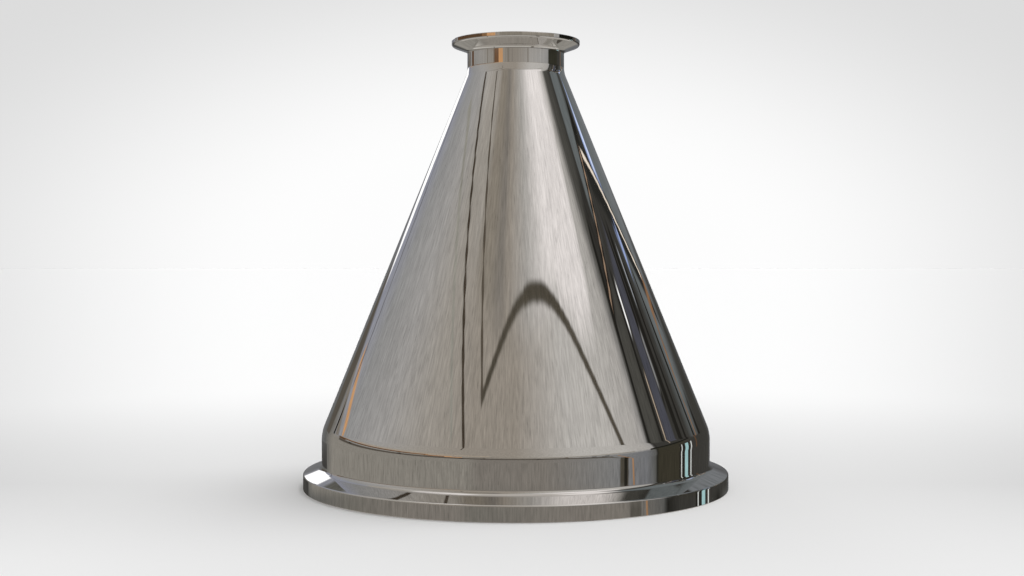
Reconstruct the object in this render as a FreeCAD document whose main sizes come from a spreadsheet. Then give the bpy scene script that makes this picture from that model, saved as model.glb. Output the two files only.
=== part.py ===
import FreeCAD, Part
import os
import Sketcher

# A concentric reducer for hygienic pipework. It is one hollow stainless steel body with a clamp
# ferrule at each end, a short straight stub behind each ferrule (the narrow neck and the wide
# skirt), and a straight cone between the two stubs. Each ferrule's face has a groove for the
# gasket's bead, and the back of its flange slopes for the clamp's jaws.
# The origin is the centre of the large ferrule's face, and +Z runs along the axis to the small one.
# Lengths are in millimetres and angles in degrees.

SIZES = (
    ("overall_length", 175.0, "from face to face"),
    ("neck_length", 12.4, "from the small face to the corner where the cone starts"),
    ("skirt_length", 21.8, "from the large face to the corner where the cone ends"),
    ("neck_od", 38.1, "outside diameter of the small stub"),
    ("neck_wall", 1.65, "wall of the small stub"),
    ("skirt_od", 152.4, "outside diameter of the large stub"),
    ("skirt_wall", 2.77, "wall of the large stub"),
    ("small_flange_width", 6.145, "how far the small flange stands out from the neck"),
    ("large_flange_width", 7.24, "how far the large flange stands out from the skirt"),
    ("small_rim_thickness", 2.0, "thickness of the small flange at its rim"),
    ("large_rim_thickness", 5.85, "thickness of the large flange at its rim"),
    ("flange_back_angle", 20.0, "slope of both flanges' backs, for the clamp's jaws"),
    ("neck_bend_radius", 9.0, "outside radius of the bend from the neck to the cone"),
    ("skirt_bend_radius", 13.0, "outside radius of the bend from the cone to the skirt"),
    ("small_root_radius", 1.5, "fillet between the neck and the back of its flange"),
    ("large_root_chamfer", 1.4, "flat between the skirt and the back of its flange"),
    ("small_rim_chamfer", 0.6, "flat that breaks the small rim's back edge"),
    ("large_rim_chamfer", 0.4, "flat that breaks the large rim's back edge"),
    ("face_edge_chamfer", 0.25, "flat that breaks the rims' edges round both faces"),
    ("small_seat_inset", 3.375, "from the small rim to the middle of its gasket groove"),
    ("large_seat_inset", 5.005, "from the large rim to the middle of its gasket groove"),
    ("seat_mouth_width", 4.44, "width of the gasket grooves at the face"),
    ("seat_bottom_width", 2.1, "width of the gasket grooves' flat bottom"),
    ("seat_depth", 1.6, "depth of the gasket grooves"),
)

# Radii and heights that more than one corner uses, as expressions on the sheet.
NECK_RADIUS = "(sizes.neck_od / 2)"
SKIRT_RADIUS = "(sizes.skirt_od / 2)"
SMALL_RIM = "(sizes.neck_od / 2 + sizes.small_flange_width)"
LARGE_RIM = "(sizes.skirt_od / 2 + sizes.large_flange_width)"
SMALL_BORE = "(sizes.neck_od / 2 - sizes.neck_wall)"
LARGE_BORE = "(sizes.skirt_od / 2 - sizes.skirt_wall)"
CONE_TOP = "(sizes.overall_length - sizes.neck_length)"
CONE_LENGTH = "(sizes.overall_length - sizes.neck_length - sizes.skirt_length)"
HALF_TURN = f"(atan(({SKIRT_RADIUS} - {NECK_RADIUS}) / {CONE_LENGTH}) / 2)"
SMALL_FACE = "sizes.overall_length"
LARGE_FACE = "0"
SMALL_SEAT = f"({SMALL_RIM} - sizes.small_seat_inset)"
LARGE_SEAT = f"({LARGE_RIM} - sizes.large_seat_inset)"

# How a corner is finished: left sharp, rounded to a radius, or cut back to a flat with equal legs.
SHARP, ROUND, FLAT = "sharp", "round", "flat"

# The corners of the wall's half section, named for the line that starts there: out along the
# large face, up the outside, in along the small face and down the bore. Each has its distance
# from the axis, its height, its finish and the finish's radius or leg. The bore's mouths are
# sharp, so that the gasket meets them flush. The bore's two bends sit lower than the outside's by
# the wall times the tangent of half the cone's angle, and their radii differ by the wall, so that
# each bend keeps the wall of its stub.
WALL = {
    "large_face": (LARGE_BORE, LARGE_FACE, SHARP, ""),
    "large_rim": (LARGE_RIM, LARGE_FACE, FLAT, "sizes.face_edge_chamfer"),
    "large_back": (LARGE_RIM, "sizes.large_rim_thickness", FLAT, "sizes.large_rim_chamfer"),
    "skirt": (
        SKIRT_RADIUS,
        "sizes.large_rim_thickness + sizes.large_flange_width * tan(sizes.flange_back_angle)",
        FLAT,
        "sizes.large_root_chamfer",
    ),
    "cone": (SKIRT_RADIUS, "sizes.skirt_length", ROUND, "sizes.skirt_bend_radius"),
    "neck": (NECK_RADIUS, CONE_TOP, ROUND, "sizes.neck_bend_radius"),
    "small_back": (
        NECK_RADIUS,
        "sizes.overall_length - sizes.small_rim_thickness"
        " - sizes.small_flange_width * tan(sizes.flange_back_angle)",
        ROUND,
        "sizes.small_root_radius",
    ),
    "small_rim": (
        SMALL_RIM,
        "sizes.overall_length - sizes.small_rim_thickness",
        FLAT,
        "sizes.small_rim_chamfer",
    ),
    "small_face": (SMALL_RIM, SMALL_FACE, FLAT, "sizes.face_edge_chamfer"),
    "small_bore": (SMALL_BORE, SMALL_FACE, SHARP, ""),
    "bore_cone": (
        SMALL_BORE,
        f"{CONE_TOP} - sizes.neck_wall * tan({HALF_TURN})",
        ROUND,
        "sizes.neck_bend_radius + sizes.neck_wall",
    ),
    "large_bore": (
        LARGE_BORE,
        f"sizes.skirt_length - sizes.skirt_wall * tan({HALF_TURN})",
        ROUND,
        "sizes.skirt_bend_radius - sizes.skirt_wall",
    ),
}


def seat_corners(middle, face, bottom):
    """A gasket groove's section: from its mouth in the face, in down both flanks to its bottom."""
    return {
        "mouth": (f"{middle} - sizes.seat_mouth_width / 2", face, SHARP, ""),
        "outer_flank": (f"{middle} + sizes.seat_mouth_width / 2", face, SHARP, ""),
        "bottom": (f"{middle} + sizes.seat_bottom_width / 2", bottom, SHARP, ""),
        "inner_flank": (f"{middle} - sizes.seat_bottom_width / 2", bottom, SHARP, ""),
    }


SEATS = {
    "small_seat": seat_corners(SMALL_SEAT, SMALL_FACE, "sizes.overall_length - sizes.seat_depth"),
    "large_seat": seat_corners(LARGE_SEAT, LARGE_FACE, "sizes.seat_depth"),
}

ORIGIN_POINT = (-1, 1)
LEVEL_AXIS = -1
START, END = 1, 2
WHOLE_TURN = 360


def size_sheet(doc):
    """The driving dimensions, one row each: the number with its alias, and what it is."""
    sheet = doc.addObject("Spreadsheet::Sheet", "sizes")
    for row, (alias, number, meaning) in enumerate(SIZES, start=1):
        sheet.set(f"A{row}", str(number))
        sheet.setAlias(f"A{row}", alias)
        sheet.set(f"B{row}", meaning)
    doc.recompute()


def measure(owner, expression):
    """What an expression on the sheet comes to now."""
    return float(owner.evalExpression(expression))


def drive(sketch, name, expression, kind, *place):
    """A named dimension in a sketch, bound to the sheet."""
    constraint = Sketcher.Constraint(kind, *place, measure(sketch, expression))
    sketch.renameConstraint(sketch.addConstraint(constraint), name)
    sketch.setExpression(f"Constraints.{name}", expression)


def finish_corner(sketch, line, name, finish, size):
    """Rounds or cuts back the corner where this line starts, and gives the place of the corner."""
    if finish == SHARP:
        return (line, START)
    arc = sketch.GeometryCount
    sketch.fillet(line, START, measure(sketch, size), True, True, finish == FLAT)
    corner = (arc + 1, START)
    if finish == ROUND:
        drive(sketch, f"{name}_radius_of_bend", size, "Radius", arc)
    else:
        flat = (arc + 2, START)
        drive(sketch, f"{name}_leg", size, "Distance", *corner, *flat)
    return corner


def half_section(body, name, corners):
    """A closed outline on the body's XZ plane, whose upright axis is the fitting's axis."""
    sketch = body.newObject("Sketcher::SketchObject", name)
    plane = [item for item in body.Origin.OriginFeatures if item.Role == "XZ_Plane"][0]
    sketch.AttachmentSupport = (plane, [""])
    sketch.MapMode = "FlatFace"

    points = [
        FreeCAD.Vector(measure(sketch, across), measure(sketch, up), 0)
        for across, up, finish, size in corners.values()
    ]
    for start, end in zip(points, points[1:] + points[:1]):
        sketch.addGeometry(Part.LineSegment(start, end), False)
    last = len(corners) - 1
    for line in range(len(corners)):
        before = line - 1 if line else last
        sketch.addConstraint(Sketcher.Constraint("Coincident", before, END, line, START))

    across_before, up_before = list(corners.values())[last][:2]
    for line, (name, (across, up, finish, size)) in enumerate(corners.items()):
        before = line - 1 if line else last
        corner = finish_corner(sketch, line, name, finish, size)
        if across == across_before:
            sketch.addConstraint(Sketcher.Constraint("Vertical", before))
        else:
            drive(sketch, f"{name}_across", across, "DistanceX", *ORIGIN_POINT, *corner)
        if up == up_before:
            sketch.addConstraint(Sketcher.Constraint("Horizontal", before))
        elif up == LARGE_FACE:
            sketch.addConstraint(Sketcher.Constraint("PointOnObject", *corner, LEVEL_AXIS))
        else:
            drive(sketch, f"{name}_up", up, "DistanceY", *ORIGIN_POINT, *corner)
        across_before, up_before = across, up
    return sketch


def full_turn(body, kind, name, corners):
    """A half section turned once round the axis, which adds material or cuts it."""
    sketch = half_section(body, f"{name}_section", corners)
    feature = body.newObject(kind, name)
    feature.Profile = sketch
    feature.ReferenceAxis = (sketch, ["V_Axis"])
    feature.Angle = WHOLE_TURN
    body.Document.recompute()
    return feature


def concentric_reducer(doc):
    """The whole fitting, as one body: the turned wall, then the gasket grooves in its two faces."""
    body = doc.addObject("PartDesign::Body", "concentric_reducer")
    body.Label = "concentric_reducer"
    body.Placement = FreeCAD.Placement()
    full_turn(body, "PartDesign::Revolution", "wall", WALL)
    for name, corners in SEATS.items():
        volume_before = body.Tip.Shape.Volume
        seat = full_turn(body, "PartDesign::Groove", name, corners)
        if seat.Shape.Volume >= volume_before:
            raise RuntimeError(f"{name} cut nothing")
    return body


def check(doc, parts):
    """Stops if an object failed, a sketch is loose, or a part isn't one sound solid."""
    for item in doc.Objects:
        if {"Invalid", "Error"} & set(item.State):
            raise RuntimeError(f"{item.Name}: {item.State}")
        if item.TypeId == "Sketcher::SketchObject" and not item.FullyConstrained:
            raise RuntimeError(f"{item.Name} is not fully constrained")
    for part in parts:
        if part.Shape.isNull() or not part.Shape.isValid() or len(part.Shape.Solids) != 1:
            raise RuntimeError(f"{part.Label} is not one sound solid")


doc = FreeCAD.newDocument("concentric_reducer")
size_sheet(doc)
parts = [concentric_reducer(doc)]
doc.recompute()
check(doc, parts)

os.makedirs("parts", exist_ok=True)
for part in parts:
    part.Shape.exportStep(os.path.join("parts", f"{part.Label}.step"))
    print(part.Label, f"volume {part.Shape.Volume:.1f}", part.Shape.optimalBoundingBox())
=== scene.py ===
import math

import bmesh
import bpy
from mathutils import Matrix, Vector


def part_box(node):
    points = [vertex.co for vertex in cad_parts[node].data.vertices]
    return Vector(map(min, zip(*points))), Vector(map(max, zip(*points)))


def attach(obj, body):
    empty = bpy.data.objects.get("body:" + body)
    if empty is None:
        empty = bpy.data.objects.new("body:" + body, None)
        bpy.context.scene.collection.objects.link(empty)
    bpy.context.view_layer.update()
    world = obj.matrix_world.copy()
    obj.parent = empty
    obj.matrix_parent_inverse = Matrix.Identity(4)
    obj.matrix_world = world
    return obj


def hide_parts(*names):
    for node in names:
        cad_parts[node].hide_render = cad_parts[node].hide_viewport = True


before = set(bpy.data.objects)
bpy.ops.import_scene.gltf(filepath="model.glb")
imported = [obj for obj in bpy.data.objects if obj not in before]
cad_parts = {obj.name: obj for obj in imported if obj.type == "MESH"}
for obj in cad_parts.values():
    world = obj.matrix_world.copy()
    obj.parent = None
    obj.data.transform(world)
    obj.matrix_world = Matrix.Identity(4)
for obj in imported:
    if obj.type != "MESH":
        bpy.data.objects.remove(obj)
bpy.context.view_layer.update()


# The reducer is one polished stainless steel body: two clamp ferrules, the short stubs behind
# them and the cone between. Here its half section is drawn as a few corners, the corners are
# rounded and the section is turned once round the axis, as the real one is spun and turned.
REDUCER_NODE = "concentric_reducer"
low_corner, high_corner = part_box(REDUCER_NODE)
OVERALL_LENGTH = high_corner.z - low_corner.z
LARGE_RIM_RADIUS = 0.08344
SMALL_RIM_RADIUS = 0.025195
LARGE_RIM_THICKNESS = 0.00585
SMALL_RIM_THICKNESS = 0.002
SKIRT_RADIUS = 0.0762
SKIRT_WALL = 0.00277
SKIRT_LENGTH = 0.0218
NECK_RADIUS = 0.01905
NECK_WALL = 0.00165
NECK_LENGTH = 0.0124
FLANGE_BACK_SLOPE = math.radians(20)
SEAT_DEPTH = 0.0016
SEAT_HALF_MOUTH = 0.00222
SEAT_HALF_BOTTOM = 0.00105
LARGE_SEAT_INSET = 0.005005
SMALL_SEAT_INSET = 0.003375
TURNS_ROUND_AXIS = 240
CONE_TOP = OVERALL_LENGTH - NECK_LENGTH
CONE_SLOPE = math.atan((SKIRT_RADIUS - NECK_RADIUS) / (CONE_TOP - SKIRT_LENGTH))
WALL_DROP = math.tan(CONE_SLOPE / 2)
SHARP_ABOVE = math.radians(30)
BREAK = 0.0001
FACE_EDGE = 0.00025
LARGE_BACK_EDGE = 0.0006
SMALL_BACK_EDGE = 0.00085
LARGE_ROOT = 0.002
SMALL_ROOT = 0.0015
SKIRT_BEND = 0.013
NECK_BEND = 0.009
SEAT_LIP = 0.0002
SEAT_ROUND = 0.0014


def groove_corners(middle, face, bottom):
    """A gasket groove from lip to lip: the radius, height and rounding of each corner."""
    return [
        (middle - SEAT_HALF_MOUTH, face, SEAT_LIP),
        (middle - SEAT_HALF_BOTTOM, bottom, SEAT_ROUND),
        (middle + SEAT_HALF_BOTTOM, bottom, SEAT_ROUND),
        (middle + SEAT_HALF_MOUTH, face, SEAT_LIP),
    ]


def section_corners():
    """The wall's corners, out along the large face, up the outside and down the bore."""
    large_seat = groove_corners(LARGE_RIM_RADIUS - LARGE_SEAT_INSET, 0, SEAT_DEPTH)
    small_seat = groove_corners(
        SMALL_RIM_RADIUS - SMALL_SEAT_INSET, OVERALL_LENGTH, OVERALL_LENGTH - SEAT_DEPTH
    )
    back_slope = math.tan(FLANGE_BACK_SLOPE)
    large_back = LARGE_RIM_THICKNESS + (LARGE_RIM_RADIUS - SKIRT_RADIUS) * back_slope
    small_back_edge = OVERALL_LENGTH - SMALL_RIM_THICKNESS
    small_back = small_back_edge - (SMALL_RIM_RADIUS - NECK_RADIUS) * back_slope
    return [
        (SKIRT_RADIUS - SKIRT_WALL, 0, BREAK),
        *large_seat,
        (LARGE_RIM_RADIUS, 0, FACE_EDGE),
        (LARGE_RIM_RADIUS, LARGE_RIM_THICKNESS, LARGE_BACK_EDGE),
        (SKIRT_RADIUS, large_back, LARGE_ROOT),
        (SKIRT_RADIUS, SKIRT_LENGTH, SKIRT_BEND),
        (NECK_RADIUS, CONE_TOP, NECK_BEND),
        (NECK_RADIUS, small_back, SMALL_ROOT),
        (SMALL_RIM_RADIUS, small_back_edge, SMALL_BACK_EDGE),
        (SMALL_RIM_RADIUS, OVERALL_LENGTH, FACE_EDGE),
        *reversed(small_seat),
        (NECK_RADIUS - NECK_WALL, OVERALL_LENGTH, BREAK),
        (NECK_RADIUS - NECK_WALL, CONE_TOP - NECK_WALL * WALL_DROP, NECK_BEND + NECK_WALL),
        (
            SKIRT_RADIUS - SKIRT_WALL,
            SKIRT_LENGTH - SKIRT_WALL * WALL_DROP,
            SKIRT_BEND - SKIRT_WALL,
        ),
    ]


def round_off(section, corner, radius):
    """Rounds one corner of the section: the bevel's offset is the length of the tangent."""
    spokes = [edge.other_vert(corner).co - corner.co for edge in corner.link_edges]
    turn = math.pi - spokes[0].angle(spokes[1])
    bmesh.ops.bevel(
        section,
        geom=[corner],
        offset=radius * math.tan(turn / 2),
        offset_type="OFFSET",
        segments=max(3, round(math.degrees(turn) / 3)),
        profile=0.5,
        affect="VERTICES",
        material=-1,
    )


def reducer_mesh():
    """The section with its corners rounded, turned once round the axis into a closed skin."""
    section = bmesh.new()
    corners = section_corners()
    points = [section.verts.new((radius, 0, height)) for radius, height, rounding in corners]
    for start, end in zip(points, points[1:] + points[:1]):
        section.edges.new((start, end))
    for point, (radius, height, rounding) in zip(points, corners):
        round_off(section, point, rounding)
    bmesh.ops.spin(
        section,
        geom=section.verts[:] + section.edges[:],
        cent=(0, 0, 0),
        axis=(0, 0, 1),
        angle=math.tau,
        steps=TURNS_ROUND_AXIS,
        use_merge=True,
    )
    bmesh.ops.remove_doubles(section, verts=section.verts, dist=1e-6)
    bmesh.ops.recalc_face_normals(section, faces=section.faces)
    mesh = bpy.data.meshes.new("polished_reducer")
    section.to_mesh(mesh)
    section.free()
    mesh.shade_smooth()
    mesh.set_sharp_from_angle(angle=SHARP_ABOVE)
    return mesh


reducer = bpy.data.objects.new("polished_reducer", reducer_mesh())
bpy.context.scene.collection.objects.link(reducer)
even_shading = reducer.modifiers.new("even_shading", "WEIGHTED_NORMAL")
even_shading.mode = "FACE_AREA"
even_shading.weight = 50
even_shading.keep_sharp = True


STEEL_TONES = ((0.70, 0.692, 0.68, 1), (0.735, 0.727, 0.715, 1))
STEEL_ROUGHNESS = (0.012, 0.03)
DRIFT_SCALE = 22.0


def polished_steel():
    """Stainless steel with a mirror polish, whose tone and polish drift faintly."""
    material = bpy.data.materials.new("mirror_polished_steel")
    material.use_nodes = True
    nodes, links = material.node_tree.nodes, material.node_tree.links
    shader = nodes["Principled BSDF"]
    shader.inputs["Metallic"].default_value = 1.0
    place = nodes.new("ShaderNodeTexCoord")

    drift = nodes.new("ShaderNodeTexNoise")
    drift.inputs["Scale"].default_value = DRIFT_SCALE
    drift.inputs["Detail"].default_value = 4.0
    links.new(place.outputs["Object"], drift.inputs["Vector"])
    tone = nodes.new("ShaderNodeMapRange")
    tone.inputs["From Min"].default_value = 0.35
    tone.inputs["From Max"].default_value = 0.65
    links.new(drift.outputs["Fac"], tone.inputs["Value"])
    colour = nodes.new("ShaderNodeMix")
    colour.data_type = "RGBA"
    colour.inputs[6].default_value, colour.inputs[7].default_value = STEEL_TONES
    links.new(tone.outputs["Result"], colour.inputs[0])
    links.new(colour.outputs[2], shader.inputs["Base Color"])

    polish = nodes.new("ShaderNodeMapRange")
    polish.inputs["From Min"].default_value = 0.3
    polish.inputs["From Max"].default_value = 0.7
    polish.inputs["To Min"].default_value, polish.inputs["To Max"].default_value = STEEL_ROUGHNESS
    links.new(drift.outputs["Fac"], polish.inputs["Value"])
    links.new(polish.outputs["Result"], shader.inputs["Roughness"])
    return material


reducer.data.materials.append(polished_steel())
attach(reducer, "root")
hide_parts(REDUCER_NODE)


# The camera stands where the photograph was taken from: a little over half a metre away, level
# with the middle of the cone and tipped down by about one degree, with a 50 mm lens.
CAMERA_PLACE = (0, -0.56234, 0.08964)
CAMERA_TIP = 0.0211
CAMERA_TURN = 0.0026
lens = bpy.data.cameras.new("camera")
lens.lens = 50
lens.sensor_width = 36
camera = bpy.data.objects.new("camera", lens)
camera.location = CAMERA_PLACE
camera.rotation_euler = (math.pi / 2 - CAMERA_TIP, 0, CAMERA_TURN)
bpy.context.scene.collection.objects.link(camera)
bpy.context.scene.camera = camera

bpy.context.scene.view_settings.view_transform = "Standard"


# The floor and the backdrop are one pale sweep with a painted pool of light and painted shade:
# a little greyer round the object and to its sides, and nearly white ahead and behind. The
# backdrop is a wide glowing dome, and the floor takes the shadow.
FLOOR_REACH = 12.0
DOME_RADIUS = 11.97
# The pool numbers set a painted pool of light on the floor and the backdrop; the near numbers set
# painted shade round the object.
LIGHT_POOL_EDGE = (0.17, 0.49)
LIGHT_POOL_TONE = (0.985, 0.72)
LIGHT_POOL_START = 0.56
NEAR_SHADE_EDGE = (0.04, 0.46)
NEAR_SHADE_SHARE = 0.79
HEIGHT_SHARE = 1.9
ONE_VALUE = ("DOT_PRODUCT", "DISTANCE", "LENGTH")


def blend_range(tree, value, source, result):
    """A smooth step from one pair of numbers to another."""
    node = tree.nodes.new("ShaderNodeMapRange")
    node.interpolation_type = "SMOOTHSTEP"
    tree.links.new(value, node.inputs["Value"])
    node.inputs["From Min"].default_value, node.inputs["From Max"].default_value = source
    node.inputs["To Min"].default_value, node.inputs["To Max"].default_value = result
    return node.outputs["Result"]


def calculate(tree, operation, *values, kind="ShaderNodeMath"):
    """A math node whose inputs are numbers, vectors or other nodes' outputs."""
    node = tree.nodes.new(kind)
    node.operation = operation
    for socket, value in zip(node.inputs, values):
        if isinstance(value, bpy.types.NodeSocket):
            tree.links.new(value, socket)
        else:
            socket.default_value = value
    return node.outputs["Value"] if operation in ONE_VALUE else node.outputs[0]


def floor_with_painted_light():
    """Matt and pale, with a painted pool of light and painted shade: a little greyer near the
    object and to its sides.
    """
    material = bpy.data.materials.new("floor_with_painted_light")
    material.use_nodes = True
    tree = material.node_tree
    shader = tree.nodes["Principled BSDF"]
    shader.inputs["Roughness"].default_value = 0.9
    shader.inputs["Specular IOR Level"].default_value = 0.0
    place = tree.nodes.new("ShaderNodeTexCoord").outputs["Object"]
    offset = tree.nodes.new("ShaderNodeSeparateXYZ")
    unsigned = calculate(tree, "ABSOLUTE", place, kind="ShaderNodeVectorMath")
    tree.links.new(unsigned, offset.inputs["Vector"])
    # Painted pool of light: paler ahead and behind, greyer out to the sides.
    ahead = calculate(tree, "ADD", offset.outputs["Y"], LIGHT_POOL_START)
    aside = calculate(tree, "DIVIDE", offset.outputs["X"], ahead)
    painted_light_pool = blend_range(tree, aside, LIGHT_POOL_EDGE, LIGHT_POOL_TONE)
    # Painted shade: the floor is greyer close round the object.
    distance = calculate(tree, "LENGTH", place, kind="ShaderNodeVectorMath")
    near = blend_range(tree, distance, NEAR_SHADE_EDGE, (NEAR_SHADE_SHARE, 1.0))
    tree.links.new(calculate(tree, "MULTIPLY", painted_light_pool, near), shader.inputs["Base Color"])
    return material


def backdrop_with_painted_light():
    """A glowing dome with a painted pool of light: white low down ahead and behind, and pale grey
    elsewhere.
    """
    material = bpy.data.materials.new("backdrop_with_painted_light")
    material.use_nodes = True
    tree = material.node_tree
    tree.nodes.remove(tree.nodes["Principled BSDF"])
    place = tree.nodes.new("ShaderNodeTexCoord").outputs["Object"]
    # Painted pool of light on the glowing dome, the same as on the floor.
    heading = calculate(tree, "NORMALIZE", place, kind="ShaderNodeVectorMath")
    heading = calculate(tree, "ABSOLUTE", heading, kind="ShaderNodeVectorMath")
    taller = calculate(
        tree, "MULTIPLY", heading, (1, 1, HEIGHT_SHARE), kind="ShaderNodeVectorMath"
    )
    aside = calculate(tree, "DISTANCE", taller, (0, 1, 0), kind="ShaderNodeVectorMath")
    glow = tree.nodes.new("ShaderNodeEmission")
    tree.links.new(blend_range(tree, aside, LIGHT_POOL_EDGE, LIGHT_POOL_TONE), glow.inputs["Color"])
    tree.links.new(glow.outputs["Emission"], tree.nodes["Material Output"].inputs["Surface"])
    return material


def stage_piece(name, shape, material):
    """A piece of the sweep. The camera sees it, and the steel mirrors the studio instead."""
    mesh = bpy.data.meshes.new(name)
    shape.to_mesh(mesh)
    shape.free()
    mesh.shade_smooth()
    mesh.materials.append(material)
    piece = bpy.data.objects.new(name, mesh)
    bpy.context.scene.collection.objects.link(piece)
    piece.visible_glossy = False
    return piece


disc = bmesh.new()
bmesh.ops.create_circle(disc, cap_ends=True, segments=96, radius=FLOOR_REACH)
stage_piece("floor", disc, floor_with_painted_light())
dome = bmesh.new()
bmesh.ops.create_uvsphere(dome, u_segments=96, v_segments=48, radius=DOME_RADIUS)
bmesh.ops.reverse_faces(dome, faces=dome.faces)
backdrop = stage_piece("backdrop", dome, backdrop_with_painted_light())
backdrop.visible_diffuse = False
backdrop.visible_shadow = False
backdrop.visible_transmission = False


# The studio round the object is what the steel mirrors: warm grey boards with dark joints in
# front, a white board to the right, a dark bay beyond it with a few thin bright strips, and a
# copper shelf edge low down. Each is painted on the world, in the tone it shows in the steel.
STEEL_REFLECTANCE = 0.71
WHITE_BOARD = (220, 215, 213)
SOFT_WHITE = (175, 172, 168)
PALE_BOARD = (163, 160, 156)
COOL_BOARD = (152, 150, 148)
BOARD = (150, 145, 138)
WARM_BOARD = (142, 135, 126)
LOW_BOARD = (130, 126, 119)
LOW_SHADE = (118, 113, 107)
WARM_SHADE = (130, 123, 113)
GREY_BOARD = (139, 139, 139)
STONE = (120, 120, 120)
DIM_BOARD = (107, 104, 98)
GRAPHITE = (87, 87, 85)
JOINT = (62, 55, 46)
SOFT_JOINT = (80, 73, 64)
FAINT_JOINT = (139, 137, 129)
ARCH = (72, 67, 58)
ASH = (108, 109, 112)
SLATE = (98, 103, 104)
DUSK = (55, 54, 51)
OLIVE = (54, 51, 42)
INK = (32, 31, 28)
COPPER = (186, 142, 100)
UMBER = (88, 66, 48)
HAZE = (134, 136, 148)
SKY = (150, 168, 212)
GLASS = (150, 184, 186)
CHALK = (205, 208, 206)
WINDOW = (255, 255, 255)


def mirrored(tone):
    """The light that shows as this tone in the steel."""
    channels = []
    for level in tone:
        share = level / 255
        linear = share / 12.92 if share <= 0.04045 else ((share + 0.055) / 1.055) ** 2.4
        channels.append(linear / STEEL_REFLECTANCE)
    return (*channels, 1)


def towards(azimuth, elevation):
    """A direction in degrees: azimuth 0 is behind the camera and 90 to its right."""
    turn, rise = math.radians(azimuth), math.radians(elevation)
    level = math.cos(rise)
    return Vector((math.sin(turn) * level, -math.cos(turn) * level, math.sin(rise)))


def fade_out(tree, value, edge, blur):
    """1 inside the edge and 0 past it, with a smooth step as wide as the blur."""
    node = tree.nodes.new("ShaderNodeMapRange")
    node.interpolation_type = "SMOOTHSTEP"
    tree.links.new(value, node.inputs["Value"])
    tree.links.new(calculate(tree, "SUBTRACT", edge, blur), node.inputs["From Min"])
    tree.links.new(calculate(tree, "ADD", edge, blur), node.inputs["From Max"])
    node.inputs["To Min"].default_value = 1.0
    node.inputs["To Max"].default_value = 0.0
    return node.outputs["Result"]


def cover(tree, mask, under, over):
    """One colour laid over another through a mask."""
    node = tree.nodes.new("ShaderNodeMix")
    node.data_type = "RGBA"
    tree.links.new(mask, node.inputs[0])
    tree.links.new(under, node.inputs[6])
    if isinstance(over, bpy.types.NodeSocket):
        tree.links.new(over, node.inputs[7])
    else:
        node.inputs[7].default_value = over
    return node.outputs[2]


def new_group(name, sockets):
    """An empty node group that takes a backing colour and more, and puts out a colour."""
    tree = bpy.data.node_groups.new(name, "ShaderNodeTree")
    for label, kind in (("Backing", "Color"), *sockets, ("Tone", "Color")):
        tree.interface.new_socket(name=label, in_out="INPUT", socket_type=f"NodeSocket{kind}")
    tree.interface.new_socket(name="Colour", in_out="OUTPUT", socket_type="NodeSocketColor")
    return tree, tree.nodes.new("NodeGroupInput").outputs, tree.nodes.new("NodeGroupOutput").inputs


def strip_group():
    """A straight strip: near the plane through its two ends, and not past either end."""
    tree, given, result = new_group(
        "strip",
        [("View", "Vector"), ("Pole", "Vector"), ("Middle", "Vector"), ("Reach", "Float"),
         ("Half width", "Float"), ("Blur", "Float")],
    )
    side = calculate(tree, "DOT_PRODUCT", given["View"], given["Pole"], kind="ShaderNodeVectorMath")
    off = calculate(tree, "DEGREES", calculate(tree, "ARCSINE", calculate(tree, "ABSOLUTE", side)))
    along = calculate(
        tree, "DOT_PRODUCT", given["View"], given["Middle"], kind="ShaderNodeVectorMath"
    )
    past = calculate(tree, "DEGREES", calculate(tree, "ARCCOSINE", along))
    inside = calculate(
        tree, "MULTIPLY",
        fade_out(tree, off, given["Half width"], given["Blur"]),
        fade_out(tree, past, given["Reach"], given["Blur"]),
    )
    tree.links.new(cover(tree, inside, given["Backing"], given["Tone"]), result["Colour"])
    return tree


def patch_group():
    """A patch between two azimuths and two elevations, with soft edges."""
    tree, given, result = new_group(
        "patch",
        [("Azimuth", "Float"), ("Elevation", "Float"), ("Across", "Float"), ("Up", "Float"),
         ("Half width", "Float"), ("Half height", "Float"), ("Blur", "Float")],
    )
    turn = calculate(tree, "SUBTRACT", given["Azimuth"], given["Across"])
    turn = calculate(tree, "ABSOLUTE", calculate(tree, "WRAP", turn, 180.0, -180.0))
    rise = calculate(tree, "ABSOLUTE", calculate(tree, "SUBTRACT", given["Elevation"], given["Up"]))
    inside = calculate(
        tree, "MULTIPLY",
        fade_out(tree, turn, given["Half width"], given["Blur"]),
        fade_out(tree, rise, given["Half height"], given["Blur"]),
    )
    tree.links.new(cover(tree, inside, given["Backing"], given["Tone"]), result["Colour"])
    return tree


world = bpy.data.worlds.new("studio")
bpy.context.scene.world = world
world.use_nodes = True
studio = world.node_tree
STRIP, PATCH = strip_group(), patch_group()
view = studio.nodes.new("ShaderNodeTexCoord").outputs["Generated"]
split = studio.nodes.new("ShaderNodeSeparateXYZ")
studio.links.new(view, split.inputs["Vector"])
behind = calculate(studio, "MULTIPLY", split.outputs["Y"], -1.0)
azimuth = calculate(studio, "DEGREES", calculate(studio, "ARCTAN2", split.outputs["X"], behind))
elevation = calculate(studio, "DEGREES", calculate(studio, "ARCSINE", split.outputs["Z"]))
round_share = calculate(studio, "DIVIDE", calculate(studio, "ADD", azimuth, 180.0), 360.0)


def boards(*stops):
    """A row of boards all the way round: tones at a few azimuths, blended between."""
    node = studio.nodes.new("ShaderNodeValToRGB")
    studio.links.new(round_share, node.inputs["Fac"])
    stops = sorted(stops)
    while len(node.color_ramp.elements) < len(stops):
        node.color_ramp.elements.new(0.5)
    for element, (turn, tone) in zip(node.color_ramp.elements, stops):
        element.position = (turn + 180) / 360
    for element, (turn, tone) in zip(node.color_ramp.elements, stops):
        element.color = mirrored(tone)
    return node.outputs["Color"]


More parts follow.
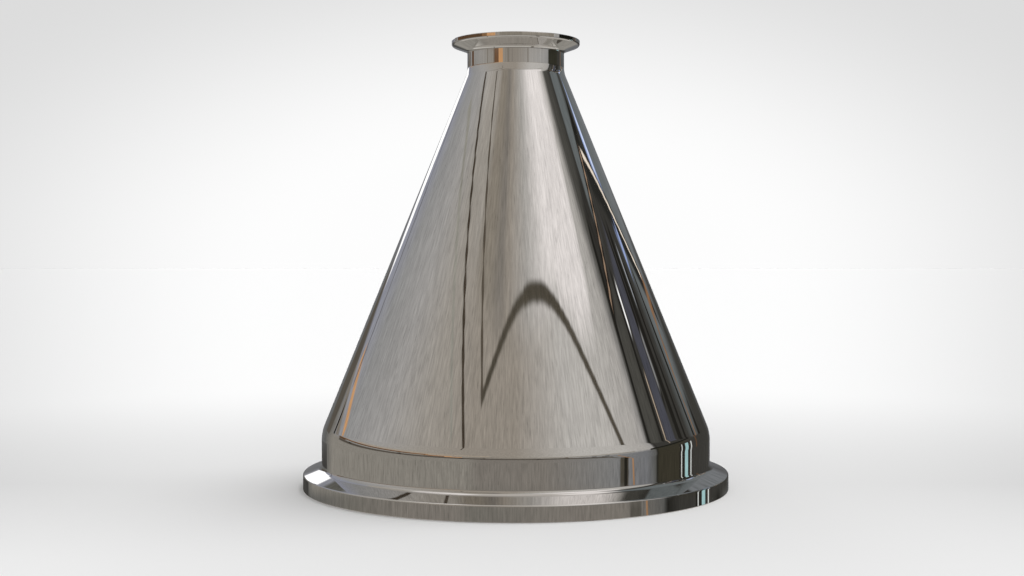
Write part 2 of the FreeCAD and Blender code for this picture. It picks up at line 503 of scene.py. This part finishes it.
def above(edge, blur):
    """1 above an elevation and 0 below it."""
    return calculate(studio, "SUBTRACT", 1.0, fade_out(studio, elevation, edge, blur))


def add_strip(backing, tone, half_width, blur, *points):
    """A strip that runs straight from each point to the next."""
    for start, end in zip(points, points[1:]):
        first, last = towards(*start), towards(*end)
        node = studio.nodes.new("ShaderNodeGroup")
        node.node_tree = STRIP
        studio.links.new(backing, node.inputs["Backing"])
        studio.links.new(view, node.inputs["View"])
        node.inputs["Pole"].default_value = first.cross(last).normalized()
        node.inputs["Middle"].default_value = (first + last).normalized()
        node.inputs["Reach"].default_value = math.degrees(first.angle(last)) / 2 + half_width / 2
        node.inputs["Half width"].default_value = half_width
        node.inputs["Blur"].default_value = blur
        node.inputs["Tone"].default_value = mirrored(tone)
        backing = node.outputs["Colour"]
    return backing


def add_patch(backing, tone, across, up, half_width, half_height, blur):
    """A patch of one tone."""
    node = studio.nodes.new("ShaderNodeGroup")
    node.node_tree = PATCH
    studio.links.new(backing, node.inputs["Backing"])
    studio.links.new(azimuth, node.inputs["Azimuth"])
    studio.links.new(elevation, node.inputs["Elevation"])
    node.inputs["Across"].default_value = across
    node.inputs["Up"].default_value = up
    node.inputs["Half width"].default_value = half_width
    node.inputs["Half height"].default_value = half_height
    node.inputs["Blur"].default_value = blur
    node.inputs["Tone"].default_value = mirrored(tone)
    return node.outputs["Colour"]


# The rows of boards, from the ground up: what the large rim mirrors, then the skirt and the neck,
# then the cone, and over them what its steepest views mirror.
FOOT_TOP, LOW_TOP, MIDDLE_TOP = -9.3, 8.0, 41.0
foot = boards(
    (-180, GRAPHITE), (-153, DUSK), (-140, GRAPHITE), (-96, DIM_BOARD), (-56, LOW_SHADE),
    (-30, LOW_SHADE), (-22, DIM_BOARD), (30, LOW_SHADE), (58, LOW_SHADE), (83.6, GRAPHITE),
    (85, INK), (96, DUSK), (128, DUSK), (138, INK), (150, GRAPHITE), (180, ASH),
)
low = boards(
    (-180, ASH), (-150, GRAPHITE), (-134, LOW_BOARD), (-28, LOW_BOARD), (-21, LOW_SHADE),
    (15, LOW_SHADE), (58, STONE), (80, ASH), (87.2, GRAPHITE), (88.2, INK), (90.2, OLIVE),
    (109, OLIVE), (125, DUSK), (156, DUSK), (180, ASH),
)
middle = boards(
    (-180, STONE), (-148, HAZE), (-122, GREY_BOARD), (-90, COOL_BOARD), (-60, BOARD),
    (-30, WARM_BOARD), (0, WARM_BOARD), (36, SOFT_WHITE), (62, SOFT_WHITE), (80, PALE_BOARD),
    (86.2, COOL_BOARD), (87.4, INK), (89.5, DUSK), (124, DUSK), (134, SLATE), (180, ASH),
)
high = boards(
    (-180, BOARD), (-120, BOARD), (-88, PALE_BOARD), (-60, BOARD), (-44, BOARD),
    (-36, WARM_SHADE), (-27, WARM_SHADE), (-16, LOW_SHADE), (-8, WARM_BOARD), (12, PALE_BOARD),
    (36, WHITE_BOARD), (61, WHITE_BOARD), (75, PALE_BOARD), (86, GRAPHITE), (91, DUSK),
    (108, SLATE), (130, SLATE), (158, ASH), (168, WHITE_BOARD), (176, PALE_BOARD), (180, BOARD),
)
low = cover(studio, above(FOOT_TOP, 0.4), foot, low)
colour = cover(studio, above(LOW_TOP, 2.5), low, middle)
colour = cover(studio, above(MIDDLE_TOP, 1.5), colour, high)

# In front: the white board's lower edge, the shade beside it, and the joints between the boards,
# of which the long one shows as an arch in the cone.
colour = add_strip(colour, (216, 211, 209), 4.2, 1.6, (42, 43.6), (57, 40.2), (68, 38.4))
colour = add_strip(colour, (70, 69, 65), 4.5, 3.4, (94.4, 21), (82.2, 43))
colour = add_strip(
    colour, JOINT, 0.36, 0.15,
    (-104, 38.2), (-84, 40.7), (-66, 41.1), (-52, 39.3), (-33, 34.6), (-33, 26),
)
colour = add_strip(colour, SOFT_JOINT, 0.4, 0.15, (-61, 48.3), (-45, 45.3), (-24, 37.5))
colour = add_strip(colour, ARCH, 0.34, 0.2, (-24, 37.6), (-3, 41.86), (8, 42.47))
colour = add_strip(colour, ARCH, 0.44, 0.2, (8, 42.47), (19.6, 42.17), (30.6, 41.07))
colour = add_strip(colour, ARCH, 0.38, 0.18, (30.6, 41.07), (35.5, 40.27), (39.9, 39.36))
colour = add_strip(colour, ARCH, 0.34, 0.15, (39.9, 39.36), (54, 35.25), (71, 27.6))
colour = add_strip(colour, FAINT_JOINT, 0.3, 0.2, (-106, 33.2), (-78, 37.3), (-42, 34))

# Low down in front and to the left: the shelf with its copper edge, dark gaps under it, and a
# bright window with its frame far round to the left.
colour = add_strip(colour, (118, 112, 104), 0.5, 0.3, (-149, 6.6), (-124, 10))
colour = add_patch(colour, (156, 145, 131), -60, 11.8, 45, 0.9, 0.6)
colour = add_patch(colour, (80, 58, 40), -84, 8.85, 36, 0.45, 0.15)
colour = add_patch(colour, UMBER, -122.5, 8.3, 4.5, 1.3, 0.5)
colour = add_patch(colour, (82, 62, 45), -88, 9.15, 37, 0.45, 0.15)
colour = add_patch(colour, (134, 100, 70), -88, 9.88, 37, 0.4, 0.15)
colour = add_patch(colour, (126, 120, 110), 22, 9.0, 50, 0.5, 0.4)
colour = add_patch(colour, (103, 76, 55), -47, 7.9, 6.5, 0.65, 0.4)
colour = add_patch(colour, COPPER, -35.5, 7.9, 5.2, 0.65, 0.4)
colour = add_patch(colour, (120, 91, 63), -57, 9.0, 5.5, 0.5, 0.3)
colour = add_patch(colour, COPPER, -44.5, 9.0, 8, 0.4, 0.3)
colour = add_patch(colour, (76, 70, 63), -48, 5.6, 78, 1.3, 0.8)
colour = add_strip(colour, (76, 70, 63), 1.2, 0.7, (29, 5.2), (46, 3.6), (56, 2.6))
for across in (-70, -52, -17.7, 28.8):
    colour = add_patch(colour, (108, 101, 91), across, 8.0, 0.9, 0.6, 0.3)
colour = add_patch(colour, (48, 47, 39), 99, 7.8, 15.5, 0.7, 0.3)
colour = add_patch(colour, (20, 19, 15), 103, 8.95, 19, 0.65, 0.2)
colour = add_patch(colour, (147, 141, 132), 36, 9.45, 24, 0.5, 0.3)
colour = add_strip(colour, (85, 79, 71), 0.7, 0.4, (50, 5.4), (64, -4))
colour = add_strip(colour, COPPER, 0.4, 0.25, (-139, 10.05), (-124, 12.1))
colour = add_patch(colour, (80, 75, 68), -150, 5.0, 6.5, 3.4, 1.0)
for across in (-112, -70, -31, -18.5, 13, 45, 53):
    colour = add_patch(colour, INK, across, 6.2, 1.4, 0.6, 0.4)
colour = add_patch(colour, INK, -136.3, 7.9, 1.0, 0.9, 0.4)
colour = add_patch(colour, WINDOW, -158.5, 14.5, 9.5, 5.3, 0.6)
colour = add_patch(colour, (88, 87, 82), -161, 26, 4, 3.5, 1.2)
colour = add_strip(colour, (96, 96, 100), 0.5, 0.2, (-150, 21), (-140, 17), (-136, 10))

# The dark bay to the right: a slate board over it, dark posts, thin warm battens between them,
# and a sloping slot of blue light.
colour = add_patch(colour, SLATE, 114, 36.5, 16, 6.8, 1.6)
colour = add_patch(colour, (48, 47, 44), 93, 31.3, 5.0, 2.6, 1.0)
colour = add_strip(colour, INK, 0.7, 0.3, (87.6, 29), (112.5, 29.3), (122, 27.5))
colour = add_strip(colour, (150, 126, 106), 0.2, 0.1, (87.8, 29), (112.5, 29.2))
colour = add_patch(colour, (70, 71, 79), 106.5, 20, 3.6, 6.5, 0.8)
for across, up, half_height in (
    (88.4, 27, 6), (99, 23, 5), (111.5, 22, 4), (120.6, 15, 6), (130.6, 12, 5),
):
    colour = add_patch(colour, INK, across, up, 0.9, half_height, 0.4)
colour = add_patch(colour, (176, 160, 142), 101.8, 17, 0.35, 5.5, 0.3)
colour = add_patch(colour, WINDOW, 101.1, 25.7, 0.75, 1.0, 0.4)
for across, up, tone in ((111.5, 19.9, (128, 128, 128)), (118.8, 21.2, (160, 164, 170))):
    colour = add_patch(colour, tone, across, up, 0.7, 1.2, 0.4)
colour = add_patch(colour, INK, 115.2, 18, 1.8, 6.5, 0.5)
colour = add_patch(colour, SKY, 129.6, 22.5, 3.2, 2.6, 0.7)
colour = add_patch(colour, (205, 216, 240), 130.5, 23.0, 1.3, 1.5, 0.8)
colour = add_strip(colour, (38, 38, 36), 1.3, 0.5, (112.5, 28.4), (146, 9.8))
colour = add_patch(colour, (150, 166, 208), 129, 18.7, 2.2, 0.7, 0.4)
colour = add_strip(colour, (232, 220, 204), 0.24, 0.1, (114, 28.4), (145, 11.3))
colour = add_strip(
    colour, (130, 98, 72), 0.5, 0.3, (132.5, 6.5), (134.5, 10.8), (139, 11.8), (147, 10.2)
)
colour = add_patch(colour, INK, 139, 6.5, 1.6, 1.2, 0.8)

# Below eye level: a dark post with a copper batten, and a glass door between two pale jambs.
colour = add_patch(colour, (72, 68, 60), 64.3, -5, 2.8, 4.3, 0.5)
colour = add_patch(colour, (36, 34, 29), 65.3, -5, 1.1, 4.3, 0.3)
colour = add_patch(colour, (84, 81, 75), 64.5, -11.5, 3.4, 2.0, 0.6)
colour = add_strip(colour, (150, 116, 86), 0.45, 0.2, (60, 5.4), (68, -4.5), (73, -12))
colour = add_patch(colour, INK, 109.8, -3, 0.7, 8, 0.3)
colour = add_patch(colour, CHALK, 111.4, -4, 0.45, 8, 0.2)
colour = add_patch(colour, INK, 113.2, -4, 1.0, 8, 0.3)
colour = add_patch(colour, GLASS, 117, -4, 1.8, 8, 0.3)
colour = add_patch(colour, INK, 119.6, -4, 0.5, 8, 0.2)
colour = add_patch(colour, CHALK, 122.6, -4, 0.6, 8, 0.2)
colour = add_patch(colour, (58, 57, 55), -159, -8.8, 13, 1.5, 1.0)
colour = add_patch(colour, UMBER, 130, 2, 0.7, 7, 0.4)
colour = add_patch(colour, (92, 86, 80), 180, 55, 14, 1.2, 0.8)

# The ground, with its joints: pale a little way off, and dark right under the object.
GROUND, GROUND_TOP = (134, 131, 125), -14.5
UNDERSHADE, UNDERSHADE_TOP = (36, 34, 31), -66.0
on_ground = fade_out(studio, elevation, GROUND_TOP, 1.5)
colour = cover(studio, on_ground, colour, mirrored(GROUND))
colour = add_patch(colour, (194, 190, 184), 0, -29.5, 132, 6.5, 5)
colour = add_strip(colour, JOINT, 0.7, 0.3, (-52, -16), (-58, -36))
colour = add_strip(colour, SOFT_JOINT, 3.2, 1.0, (38, -16), (46, -36))
colour = add_strip(colour, JOINT, 0.7, 0.3, (112, -16), (118, -36))
colour = add_patch(colour, (152, 147, 140), 0, -62, 140, 22, 3)
colour = add_patch(colour, (170, 166, 161), 86, -50, 17, 9, 1)
colour = add_strip(colour, SOFT_JOINT, 0.6, 0.3, (68, -42), (69, -58))
underneath = fade_out(studio, elevation, UNDERSHADE_TOP, 4.0)
colour = cover(studio, underneath, colour, mirrored(UNDERSHADE))
colour = add_patch(colour, (70, 66, 60), 166, -34, 2.5, 1.8, 0.8)
colour = add_patch(colour, (44, 42, 40), 161.5, 30.5, 2.6, 2.2, 0.6)
colour = add_patch(colour, (62, 60, 56), 162.5, 38.5, 2.0, 1.1, 0.5)

# The boards are grained and flecked, and the ceiling is plain, with two white panels.
CEILING, CEILING_START = (172, 167, 162), 62.0
GRAIN_SCALE, FLECK_SCALE = 62.0, 120.0
grain = studio.nodes.new("ShaderNodeTexNoise")
grain.inputs["Scale"].default_value = GRAIN_SCALE
grain.inputs["Detail"].default_value = 8.0
grain.inputs["Roughness"].default_value = 0.75
studio.links.new(view, grain.inputs["Vector"])
depth = calculate(studio, "MULTIPLY_ADD", grain.outputs["Fac"], 1.5, 0.25)
flecks = studio.nodes.new("ShaderNodeTexNoise")
flecks.inputs["Scale"].default_value = FLECK_SCALE
flecks.inputs["Detail"].default_value = 2.0
studio.links.new(view, flecks.inputs["Vector"])
spared = fade_out(studio, flecks.outputs["Fac"], 0.67, 0.04)
fleck_share = calculate(studio, "MULTIPLY_ADD", spared, 0.28, 0.72)
depth = calculate(studio, "MULTIPLY", depth, fleck_share)
grained = calculate(studio, "MULTIPLY", colour, depth, kind="ShaderNodeVectorMath")
ceiling = cover(studio, above(CEILING_START, 5.0), grained, mirrored(CEILING))
ceiling = add_patch(ceiling, WHITE_BOARD, -95, 68, 38, 9, 4)
ceiling = add_patch(ceiling, WHITE_BOARD, 100, 68, 34, 9, 4)
ceiling = add_strip(ceiling, JOINT, 0.6, 0.3, (-52, 60), (-128, 60))

# The studio's own light is even, so the floor and everything matt takes a plain light from all
# round. Only what mirrors it is shown the boards.
mirror_view = studio.nodes.new("ShaderNodeBackground")
studio.links.new(ceiling, mirror_view.inputs["Color"])
even_light = studio.nodes["Background"]
even_light.inputs["Color"].default_value = (0.60, 0.60, 0.60, 1)
chosen = studio.nodes.new("ShaderNodeMixShader")
light_path = studio.nodes.new("ShaderNodeLightPath")
studio.links.new(light_path.outputs["Is Glossy Ray"], chosen.inputs["Fac"])
studio.links.new(even_light.outputs["Background"], chosen.inputs[1])
studio.links.new(mirror_view.outputs["Background"], chosen.inputs[2])
studio.links.new(chosen.outputs["Shader"], studio.nodes["World Output"].inputs["Surface"])

LAMP_STRENGTH = 1.45
LAMP_SPREAD = math.radians(42)
key = bpy.data.lights.new("soft_ceiling_light", "SUN")
key.energy = LAMP_STRENGTH
key.angle = LAMP_SPREAD
key_lamp = bpy.data.objects.new("soft_ceiling_light", key)
key_lamp.rotation_euler = (math.radians(-10), math.radians(27), 0)
key_lamp.visible_glossy = False
bpy.context.scene.collection.objects.link(key_lamp)
